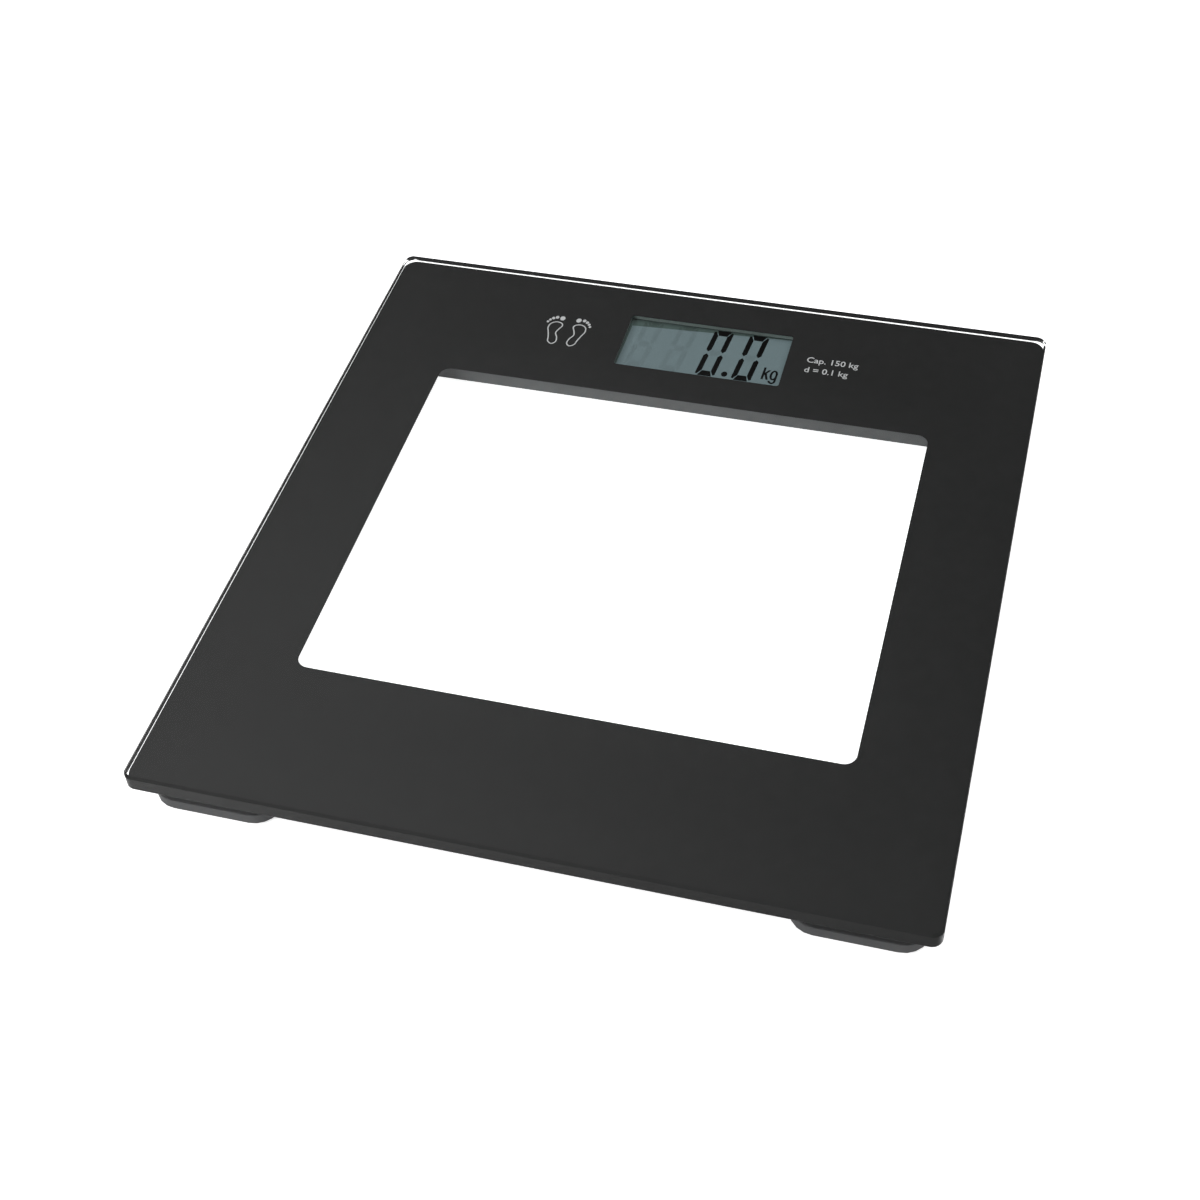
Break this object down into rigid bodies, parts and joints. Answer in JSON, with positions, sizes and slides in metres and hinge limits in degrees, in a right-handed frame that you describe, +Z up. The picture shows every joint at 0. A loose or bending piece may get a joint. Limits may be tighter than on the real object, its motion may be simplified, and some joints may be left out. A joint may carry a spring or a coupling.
{
  "type": "digital bathroom scale",
  "caption": "Low square glass platform with a black printed border, clear centre window, slim liquid-crystal readout at the back, rear electronics housing and short load-cell feet.",
  "frame": {"origin": "on the floor, under the middle of the glass platform", "axes": "+X to the user's right, +Y away from the user towards the display, +Z up"},
  "size_m": [0.3, 0.322, 0.023],
  "materials": {
    "glass": "polished tempered float glass with ground, polished edges",
    "border_ink": "black ceramic ink fired on the underside of the glass",
    "black_plastic": "fine spark-textured charcoal ABS",
    "foot_plastic": "satin dark grey ABS",
    "foot_rubber": "matt grey rubber",
    "spring_steel": "stamped spring steel, bright",
    "white_silicone": "soft white silicone sealant",
    "foam_tape": "matt black closed-cell foam tape",
    "lcd": "grey-green liquid crystal cell behind a polariser",
    "reflector_foil": "satin reflector foil",
    "elastomer": "striped silicone connector",
    "circuit_laminate": "green solder mask",
    "black_epoxy": "black potting epoxy",
    "battery_steel": "bright plated steel can",
    "contact_strip": "nickel-plated spring strip",
    "wire_jacket": "smooth insulated wire",
    "mark_ink": "light grey ink printed on the underside of the glass, under the black",
    "lcd_segment": "dark segments of the liquid crystal display"
  },
  "bodies": {
    "platform": {"glass_platform": "glass", "border_print": "border_ink", "foot_tape_front_left": "foam_tape", "foot_holder_front_left": "black_plastic", "load_cell_front_left": "spring_steel", "gauge_seal_front_left": "white_silicone", "foot_tape_front_right": "foam_tape", "foot_holder_front_right": "black_plastic", "load_cell_front_right": "spring_steel", "gauge_seal_front_right": "white_silicone", "foot_tape_rear_left": "foam_tape", "foot_holder_rear_left": "black_plastic", "load_cell_rear_left": "spring_steel", "gauge_seal_rear_left": "white_silicone", "foot_tape_rear_right": "foam_tape", "foot_holder_rear_right": "black_plastic", "load_cell_rear_right": "spring_steel", "gauge_seal_rear_right": "white_silicone", "rear_housing": "black_plastic", "housing_tape": "foam_tape", "coin_battery": "battery_steel", "battery_contact_negative": "contact_strip", "battery_contact_positive": "contact_strip", "battery_lead_negative": "wire_jacket", "battery_lead_positive": "wire_jacket", "tact_switch": "black_epoxy", "circuit_board": "circuit_laminate", "control_chip": "black_epoxy", "lcd_bezel": "black_plastic", "lcd_glass": "lcd", "lcd_reflector": "reflector_foil", "zebra_connector": "elastomer", "display_screw_1": "spring_steel", "display_screw_2": "spring_steel", "display_screw_3": "spring_steel", "display_screw_4": "spring_steel", "wire_duct_left": "black_plastic", "wire_bundle_front_left": "wire_jacket", "wire_bundle_rear_left": "wire_jacket", "wire_duct_right": "black_plastic", "wire_bundle_front_right": "wire_jacket", "wire_bundle_rear_right": "wire_jacket"},
    "foot_front_left": {"foot_cap_front_left": "foot_plastic", "foot_pad_front_left": "foot_rubber"},
    "foot_front_right": {"foot_cap_front_right": "foot_plastic", "foot_pad_front_right": "foot_rubber"},
    "foot_rear_left": {"foot_cap_rear_left": "foot_plastic", "foot_pad_rear_left": "foot_rubber"},
    "foot_rear_right": {"foot_cap_rear_right": "foot_plastic", "foot_pad_rear_right": "foot_rubber"},
    "door": {"battery_door": "black_plastic"},
    "button": {"unit_button": "foot_plastic"}
  },
  "joints": [
    {"name": "foot_travel_front_left", "type": "slide", "parent": "platform", "child": "foot_front_left", "axis": [0, 0, 1], "range_m": [0, 0.0003], "stiffness_N_per_m": 1000, "springref_m": -0.01},
    {"name": "foot_travel_front_right", "type": "slide", "parent": "platform", "child": "foot_front_right", "axis": [0, 0, 1], "range_m": [0, 0.0003], "stiffness_N_per_m": 1000, "springref_m": -0.01},
    {"name": "foot_travel_rear_left", "type": "slide", "parent": "platform", "child": "foot_rear_left", "axis": [0, 0, 1], "range_m": [0, 0.0003], "stiffness_N_per_m": 1000, "springref_m": -0.01},
    {"name": "foot_travel_rear_right", "type": "slide", "parent": "platform", "child": "foot_rear_right", "axis": [0, 0, 1], "range_m": [0, 0.0003], "stiffness_N_per_m": 1000, "springref_m": -0.01},
    {"name": "battery_door_hinge", "type": "hinge", "parent": "platform", "child": "door", "pos_m": [-0.07, 0.1093, 0.007], "axis": [-1, 0, 0], "range_deg": [0, 90]},
    {"name": "unit_button_press", "type": "slide", "parent": "platform", "child": "button", "axis": [0, 0, 1], "range_m": [0, 0.0004], "stiffness_N_per_m": 80, "springref_m": -0.006}
  ]
}
